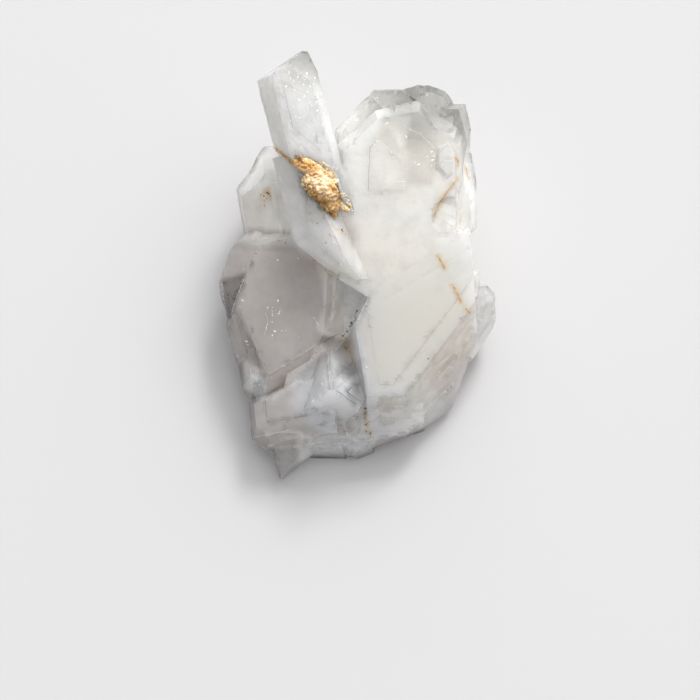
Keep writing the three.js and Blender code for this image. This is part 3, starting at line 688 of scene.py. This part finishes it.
def crumbs_in_outline(outline, count, sizes, trees, rng):
    """Places and radii of crumbs that lie on the topmost surface inside an outline."""
    found = []
    xs, ys = zip(*outline)
    while len(found) < count:
        x, y = rng.uniform(min(xs), max(xs)), rng.uniform(min(ys), max(ys))
        if outline_share(outline, np.array([[x, y]]), ON_THE_LINE)[0] < 1.0:
            continue
        heights = [tree.ray_cast(Vector((x * MM, y * MM, ABOVE)), DOWN)[0] for tree in trees]
        top_point = max((h for h in heights if h is not None), key=lambda h: h.z)
        found.append((top_point, rng.uniform(*sizes) * MM))
    return found


def add_crumbs(bm, crumbs, seed):
    """Turned, squashed, dented crumbs added to a mesh."""
    rng = random.Random(seed)
    for place, radius in crumbs:
        turn = Euler([rng.uniform(0, FULL_TURN) for _ in range(3)]).to_matrix()
        squash = Vector((1.0, rng.uniform(0.5, 0.9), rng.uniform(0.4, 0.8)))
        shift = Vector((rng.uniform(0, 90), 0, 0))
        ball = bmesh.ops.create_icosphere(bm, subdivisions=2, radius=1.0)
        for vert in ball["verts"]:
            dent = 1.0 + 0.5 * noise.noise(vert.co * 1.6 + shift)
            vert.co = place + turn @ (vert.co * squash) * radius * dent


def baked(carrier):
    """The mesh that an object's modifiers make of it, kept plain. The object itself goes."""
    depsgraph = bpy.context.evaluated_depsgraph_get()
    result = bpy.data.meshes.new_from_object(carrier.evaluated_get(depsgraph))
    bpy.data.objects.remove(carrier)
    return result


def remeshed(mesh, voxel):
    """One closed skin around a heap of loose shapes."""
    carrier = bpy.data.objects.new("clay_carrier", mesh)
    bpy.context.collection.objects.link(carrier)
    modifier = carrier.modifiers.new("even", "REMESH")
    modifier.mode = "VOXEL"
    modifier.voxel_size = voxel
    return baked(carrier)

# %% [markdown]
# The crumbs and the swollen solid are one heap, and the remesh draws one skin round it.

# %% The heap of crumbs as one skin
clay_bm = cleaned_copy("clay_lump")
bmesh.ops.triangulate(clay_bm, faces=clay_bm.faces)
clay_bm.normal_update()
clay_trees = (quartz_tree, BVHTree.FromBMesh(clay_bm))
clay_rng = random.Random(9)
crumbs = []
for outline, (count, sizes) in zip(CLAY_OUTLINES, CLAY_CRUMBS):
    crumbs += crumbs_in_outline(outline, count, sizes, clay_trees, clay_rng)
for vert in clay_bm.verts:
    vert.co += vert.normal * CRUST
add_crumbs(clay_bm, crumbs, 10)
loose = bpy.data.meshes.new("loose_clay")
clay_bm.to_mesh(loose)
clay_mesh = remeshed(loose, CLAY_VOXEL)
print(len(crumbs), "crumbs, one skin of", len(clay_mesh.polygons), "faces")

# %% [markdown]
# Every point takes the tone of its nearest crumb and is pushed in or out a little.

# %% Tones and grain of the clay
clay_bm = bmesh.new()
clay_bm.from_mesh(clay_mesh)
clay_bm.normal_update()
tone_tree = KDTree(len(crumbs))
for index, (place, _) in enumerate(crumbs):
    tone_tree.insert(place, index)
tone_tree.balance()
tone_of = [random.Random(index).uniform(-0.2, 0.2) for index in range(len(crumbs))]
crumb_level = []
for vert in clay_bm.verts:
    place = vert.co / MM
    # Browner near the listed places: painted shade along the lump's lower left edge, real stains
    # elsewhere.
    brown = max(amount * math.exp(-((place.x - x) ** 2 + (place.y - y) ** 2) / reach ** 2)
                for (x, y), reach, amount in CLAY_STAINS_AND_SHADE)
    level = SANDY + tone_of[tone_tree.find(vert.co)[1]] - brown
    crumb_level.append(min(1.0, max(0.0, level)))
    grain = noise.noise(place * 3.7) + 0.5 * noise.noise(place * 8.3)
    vert.co += vert.normal * CLAY_GRAIN * grain
clay_bm.to_mesh(clay_mesh)
store(clay_mesh, "crumb", crumb_level)
clay_mesh.shade_smooth()
clay_mesh.materials.append(clay_material())
add_piece("clay_crust", clay_mesh, "clay_lump")

# %% [markdown]
# ## Crumbs of clay and rust
# Small crumbs fill the stained hairline cracks and lie strewn around the lump. They repeat along
# paths, which is work for Geometry Nodes: the tree turns each path into evenly spaced points,
# jitters them, and puts a turned and scaled crumb on each.

# %% A tree that strews crumbs along paths
def lump_mesh(name, rough, squash, seed):
    """A small irregular crumb, one millimetre across."""
    bm = bmesh.new()
    bmesh.ops.create_icosphere(bm, subdivisions=1, radius=0.5 * MM)
    for vert in bm.verts:
        vert.co *= 1.0 + rough * noise.noise(vert.co / MM * 2.3 + Vector((seed, 0.0, 0.0)))
        vert.co.z *= squash
    mesh = bpy.data.meshes.new(name)
    bm.to_mesh(mesh)
    return mesh


def hidden_object(name, mesh):
    """An object that only Geometry Nodes use. It is removed once they have run."""
    thing = bpy.data.objects.new(name, mesh)
    bpy.context.collection.objects.link(thing)
    return thing


def new_group(name, geometry, numbers, result):
    """A Geometry Nodes tree with its named inputs: the tree, their identifiers and their outputs."""
    tree = bpy.data.node_groups.new(name, "GeometryNodeTree")
    tree.interface.new_socket(geometry, in_out="INPUT", socket_type="NodeSocketGeometry")
    sockets = {label: tree.interface.new_socket(
        label, in_out="INPUT", socket_type="NodeSocketFloat").identifier for label in numbers}
    tree.interface.new_socket(result, in_out="OUTPUT", socket_type="NodeSocketGeometry")
    return tree, sockets, add_node(tree, "NodeGroupInput").outputs


def crumb_tree(thing, material, seed):
    """Geometry Nodes: paths in, a row of jittered crumbs out."""
    tree, sockets, given = new_group(
        "crumbs along paths", "Paths", ("Spacing", "Spread", "Smallest", "Largest"), "Crumbs")
    curve = add_node(tree, "GeometryNodeMeshToCurve", {"Mesh": given["Paths"]})
    points = add_node(tree, "GeometryNodeCurveToPoints", {
        "Curve": curve, "Length": given["Spacing"]}, mode="LENGTH")
    back = add_node(tree, "ShaderNodeMath", {0: given["Spread"], 1: -1.0}, operation="MULTIPLY")
    aside = [add_node(tree, "FunctionNodeRandomValue", {
        "Min": back, "Max": given["Spread"], "Seed": seed + n}) for n in (1, 2)]
    shift = add_node(tree, "ShaderNodeCombineXYZ", {"X": aside[0].outputs[1], "Y": aside[1].outputs[1]})
    moved = add_node(tree, "GeometryNodeSetPosition", {"Geometry": points, "Offset": shift})
    size = add_node(tree, "FunctionNodeRandomValue", {
        "Min": given["Smallest"], "Max": given["Largest"], "Seed": seed + 3})
    turn = add_node(tree, "FunctionNodeRandomValue", {
        "Max": (FULL_TURN, FULL_TURN, FULL_TURN), "Seed": seed + 4}, data_type="FLOAT_VECTOR")
    shape = add_node(tree, "GeometryNodeObjectInfo", {"Object": thing})
    rows = add_node(tree, "GeometryNodeInstanceOnPoints", {
        "Points": moved, "Instance": shape.outputs["Geometry"], "Rotation": turn,
        "Scale": size.outputs[1]})
    real = add_node(tree, "GeometryNodeRealizeInstances", {"Geometry": rows})
    dressed = add_node(tree, "GeometryNodeSetMaterial", {"Geometry": real, "Material": material})
    add_node(tree, "NodeGroupOutput", {"Crumbs": dressed})
    return tree, sockets


def grown(name, mesh, tree, values):
    """Run a tree on a mesh and keep the result as a plain mesh."""
    carrier = hidden_object(name + "_carrier", mesh)
    modifier = carrier.modifiers.new("grow", "NODES")
    modifier.node_group = tree[0]
    for socket, value in values.items():
        modifier[tree[1][socket]] = value
    result = baked(carrier)
    result.name = name
    print(name, len(result.polygons), "faces from", len(mesh.vertices), "points")
    return result


def path_mesh(paths):
    """Open polylines as one mesh of edges."""
    corners, edges = [], []
    for path in paths:
        edges += [(len(corners) + k, len(corners) + k + 1) for k in range(len(path) - 1)]
        corners += path
    mesh = bpy.data.meshes.new("paths")
    mesh.from_pydata([tuple(c) for c in corners], edges, [])
    return mesh

# %% [markdown]
# The same tree makes three pieces: rust in the cracks, loose crumbs round the clay, and dark specks
# in the joints. Only the paths, the earth and the numbers change.

# %% Rust crumbs in the cracks
def earth_material(name, dark, light):
    """Rusty earth in two tones, dull and grainy."""
    material, tree, output = new_material(name)
    blotch = noise_node(tree, 1500.0, 4.0)
    share = mapped(tree, blotch, (0.35, 0.65), (0.0, 1.0))
    colour = add_node(tree, "ShaderNodeMix", {
        "Factor": share, "A": linear(dark), "B": linear(light)}, data_type="RGBA")
    bump = add_node(tree, "ShaderNodeBump", {"Height": blotch, "Strength": 0.5, "Distance": 0.0001})
    shader = add_node(tree, "ShaderNodeBsdfPrincipled", {
        "Base Color": colour.outputs["Result"], "Roughness": 0.85, "Normal": bump, "IOR": 1.5})
    tree.links.new(shader.outputs[0], output.inputs["Surface"])
    return material


crumb = hidden_object("crumb", lump_mesh("crumb", 0.9, 0.6, 3.0))
rust_tree = crumb_tree(crumb, earth_material("iron_ochre", "#C98B3E", "#F0CD97"), 20)
ochre_paths = [path for name, path in laid.items() if name not in DARK_PATHS]
rust_mesh = grown("rust_in_cracks", path_mesh(ochre_paths), rust_tree, {
    "Spacing": 0.09 * MM, "Spread": 0.09 * MM, "Smallest": 0.1, "Largest": 0.26})
rust_mesh.shade_smooth()
add_piece("rust_in_cracks", rust_mesh)

# %% Loose crumbs around the lump
HEAPS = 26
HEAP_X, HEAP_Y = -4.6, 9.0
around = []
rng = random.Random(5)
for _ in range(HEAPS):
    x, y = HEAP_X + rng.gauss(0, 1.5), HEAP_Y + rng.gauss(0, 2.3)
    around.append(laid_path([(x, y), (x + rng.uniform(-0.7, 0.7), y + rng.uniform(-0.7, 0.7))]))
loose_mesh = grown("loose_crumbs", path_mesh([path for path in around if len(path) > 1]), rust_tree, {
    "Spacing": 0.3 * MM, "Spread": 0.2 * MM, "Smallest": 0.12, "Largest": 0.36})
loose_mesh.shade_smooth()
add_piece("loose_crumbs", loose_mesh)

# %% Dark specks in the joints
dark_tree = crumb_tree(crumb, earth_material("dark_earth", "#573B20", "#96733F"), 30)
dark_paths = [laid[name] for name in DARK_PATHS]
dark_paths += [laid_path([place, (place[0] + 0.25, place[1] - 0.2)]) for place in SPECKS]
dark_mesh = grown("dark_specks", path_mesh(dark_paths), dark_tree, {
    "Spacing": 0.2 * MM, "Spread": 0.55 * MM, "Smallest": 0.1, "Largest": 0.36})
dark_mesh.shade_smooth()
add_piece("dark_specks", dark_mesh)
bpy.data.objects.remove(crumb)

# %% [markdown]
# ## Bright fractures
# A fracture just under a face holds a film of air and flashes white. Each is a thin white splinter
# lying flat on the face: the fracture is real, and its flash is a painted highlight. Geometry Nodes
# strew them over the surface where the density value allows it.

# %% Fracture splinters
def fracture_material(name):
    """The white flash of an air film inside the crystal, painted into the splinter's white colour."""
    material, tree, output = new_material(name)
    rough = mapped(tree, noise_node(tree, 2500.0, 3.0), (0.0, 1.0), (0.1, 0.4))
    shader = add_node(tree, "ShaderNodeBsdfPrincipled", {
        "Base Color": linear("#FBFAF8"), "Roughness": rough, "IOR": QUARTZ_IOR})
    tree.links.new(shader.outputs[0], output.inputs["Surface"])
    return material


def fracture_tree(thing, material, seed):
    """Geometry Nodes: a surface with a density value in, splinters lying on it out."""
    tree, sockets, given = new_group(
        "splinters on a surface", "Surface", ("Most per square metre", "Smallest", "Largest"),
        "Splinters")
    share = add_node(tree, "GeometryNodeInputNamedAttribute", {"Name": "fracture"}, data_type="FLOAT")
    density = add_node(tree, "ShaderNodeMath", {
        0: share, 1: given["Most per square metre"]}, operation="MULTIPLY")
    points = add_node(tree, "GeometryNodeDistributePointsOnFaces", {
        "Mesh": given["Surface"], "Density": density, "Seed": seed})
    spin = add_node(tree, "FunctionNodeRandomValue", {"Max": FULL_TURN, "Seed": seed + 1}).outputs[1]
    about_z = add_node(tree, "FunctionNodeEulerToRotation", {
        0: add_node(tree, "ShaderNodeCombineXYZ", {"Z": spin})})
    turn = add_node(tree, "FunctionNodeRotateRotation", {
        "Rotation": points.outputs["Rotation"], "Rotate By": about_z}, rotation_space="LOCAL")
    size = add_node(tree, "FunctionNodeRandomValue", {
        "Min": given["Smallest"], "Max": given["Largest"], "Seed": seed + 2}).outputs[1]
    slim = add_node(tree, "FunctionNodeRandomValue", {
        "Min": 0.15, "Max": 0.6, "Seed": seed + 3}).outputs[1]
    width = add_node(tree, "ShaderNodeMath", {0: size, 1: slim}, operation="MULTIPLY")
    scale = add_node(tree, "ShaderNodeCombineXYZ", {"X": size, "Y": width, "Z": 0.12})
    shape = add_node(tree, "GeometryNodeObjectInfo", {"Object": thing})
    rows = add_node(tree, "GeometryNodeInstanceOnPoints", {
        "Points": points, "Instance": shape.outputs["Geometry"], "Rotation": turn, "Scale": scale})
    real = add_node(tree, "GeometryNodeRealizeInstances", {"Geometry": rows})
    ragged = add_node(tree, "ShaderNodeTexNoise", {"Scale": 2200.0, "Detail": 2.0}).outputs["Color"]
    about = add_node(tree, "ShaderNodeVectorMath", {
        0: ragged, 1: (0.5, 0.5, 0.5)}, operation="SUBTRACT")
    shift = add_node(tree, "ShaderNodeVectorMath", {0: about, "Scale": 0.0004}, operation="SCALE")
    torn = add_node(tree, "GeometryNodeSetPosition", {
        "Geometry": real, "Offset": shift.outputs["Vector"]})
    dressed = add_node(tree, "GeometryNodeSetMaterial", {"Geometry": torn, "Material": material})
    add_node(tree, "NodeGroupOutput", {"Splinters": dressed})
    return tree, sockets

# %% [markdown]
# The places come from the list above. Elsewhere a few flecks lie on faces that do not look down, and
# none near the foot.

# %% Splinters where the list puts them
LEAST_SHARE = 0.08
THINNING = 1.3
FEW = 0.004
FOOT_HEIGHT = 1.0
carried = quartz_mesh.copy()
places = np.array([v.co for v in carried.vertices]) / MM
normals = np.array([v.normal for v in carried.vertices])
share = np.zeros(len(places))
for (x, y), reach, strength in FRACTURES:
    point = dropped(x, y)
    if point is not None:
        gap = np.linalg.norm(places - np.array([x, y, point.z / MM]), axis=1) / reach
        share = np.maximum(share, strength * np.exp(-THINNING * gap * gap))
elsewhere = np.where((normals[:, 2] > -0.3) & (places[:, 2] > FOOT_HEIGHT), FEW, 0.0)
share = np.where((share > LEAST_SHARE) & (normals[:, 2] > 0.15), share, elsewhere)
store(carried, "fracture", share)
splinter = hidden_object("splinter", lump_mesh("splinter", 1.2, 0.5, 8.0))
splinter_tree = fracture_tree(splinter, fracture_material("fracture_flash"), 40)
fractures = grown("bright_fractures", carried, splinter_tree, {
    "Most per square metre": 4.5e6, "Smallest": 0.12, "Largest": 0.62})
bpy.data.objects.remove(splinter)
add_piece("bright_fractures", fractures)

# %% [markdown]
# A healed crack is a fine white line, and so is the highlight along a lit edge. The tree that strewed
# the rust draws both, with small white flecks set close together: the lines along edges are painted
# highlight, the rest healed cracks.

# %% White lines: healed cracks and painted edge highlights
fleck = hidden_object("fleck", lump_mesh("fleck", 0.8, 0.4, 5.0))
highlight_and_crack_paths = [laid_path(line) for line in HIGHLIGHT_AND_CRACK_LINES]
line_tree = crumb_tree(fleck, fracture_material("crack_and_edge_highlight"), 50)
highlight_and_crack_mesh = grown("bright_lines", path_mesh(highlight_and_crack_paths), line_tree, {
    "Spacing": 0.12 * MM, "Spread": 0.08 * MM, "Smallest": 0.06, "Largest": 0.2})
bpy.data.objects.remove(fleck)
add_piece("bright_lines", highlight_and_crack_mesh)

# %% [markdown]
# ## Floor, light and camera
# The cluster lies on a plain pale board, under one big soft window above and behind it.

# %% Floor
FLOOR_DROP = 0.02 * MM
bpy.ops.mesh.primitive_plane_add(size=1.6, location=(0, 0, -FLOOR_DROP))
floor = bpy.context.object
floor.name = "pale_floor"
# Board under matt pale paint.
material, tree, output = new_material("pale_board")
shader = add_node(tree, "ShaderNodeBsdfPrincipled", {"Base Color": linear("#D5D4D3"), "Roughness": 0.8})
tree.links.new(shader.outputs[0], output.inputs["Surface"])
floor.data.materials.append(material)

# %% [markdown]
# The sky light is cool and even, with one broad bright lobe round the window.

# %% Light
KEY_PLACE, KEY_SIDE, KEY_POWER = (0.62, 1.95, 1.45), 0.6, 44.5
KEY_DIRECTION = (0.247, 0.776, 0.58)
SKY_EVEN, SKY_BRIGHT = 0.37, 2.55
world = bpy.data.worlds.new("soft_sky")
bpy.context.scene.world = world
world.use_nodes = True
tree = world.node_tree
tree.nodes.clear()
direction = add_node(tree, "ShaderNodeTexCoord").outputs["Generated"]
towards_key = add_node(tree, "ShaderNodeVectorMath", {
    0: direction, 1: KEY_DIRECTION}, operation="DOT_PRODUCT").outputs["Value"]
strength = add_node(tree, "ShaderNodeMapRange", {
    "Value": towards_key, "From Min": 0.55, "From Max": 1.0,
    "To Min": SKY_EVEN, "To Max": SKY_BRIGHT},
    interpolation_type="SMOOTHERSTEP").outputs["Result"]
sky = add_node(tree, "ShaderNodeBackground", {"Color": linear("#FCFCFF"), "Strength": strength})
add_node(tree, "ShaderNodeOutputWorld", {"Surface": sky.outputs[0]})


def area_light(name, place, size, power):
    """A square area light that looks at the middle of the scene. Its side in m, its power in W."""
    light = bpy.data.lights.new(name, "AREA")
    light.size = size
    light.energy = power
    lamp = bpy.data.objects.new(name, light)
    lamp.location = place
    lamp.rotation_euler = (-Vector(place)).to_track_quat("-Z", "Y").to_euler()
    bpy.context.collection.objects.link(lamp)


area_light("key_window", KEY_PLACE, KEY_SIDE, KEY_POWER)

# %% [markdown]
# The photo looks straight down. The camera stands above its middle with a long lens.

# %% Camera
CAMERA_HEIGHT = 450 * MM
CAMERA_X, CAMERA_Y = -1.22 * MM, -12.36 * MM
FOCAL_PIXELS = 2827
PICTURE_WIDTH = 700
SENSOR = 36
camera_data = bpy.data.cameras.new("camera")
camera_data.sensor_width = SENSOR
camera_data.lens = SENSOR * FOCAL_PIXELS / PICTURE_WIDTH
camera_data.clip_start = 0.01
camera = bpy.data.objects.new("camera", camera_data)
camera.location = (CAMERA_X, CAMERA_Y, CAMERA_HEIGHT)
bpy.context.collection.objects.link(camera)
bpy.context.scene.camera = camera
bpy.context.scene.view_settings.view_transform = "Standard"
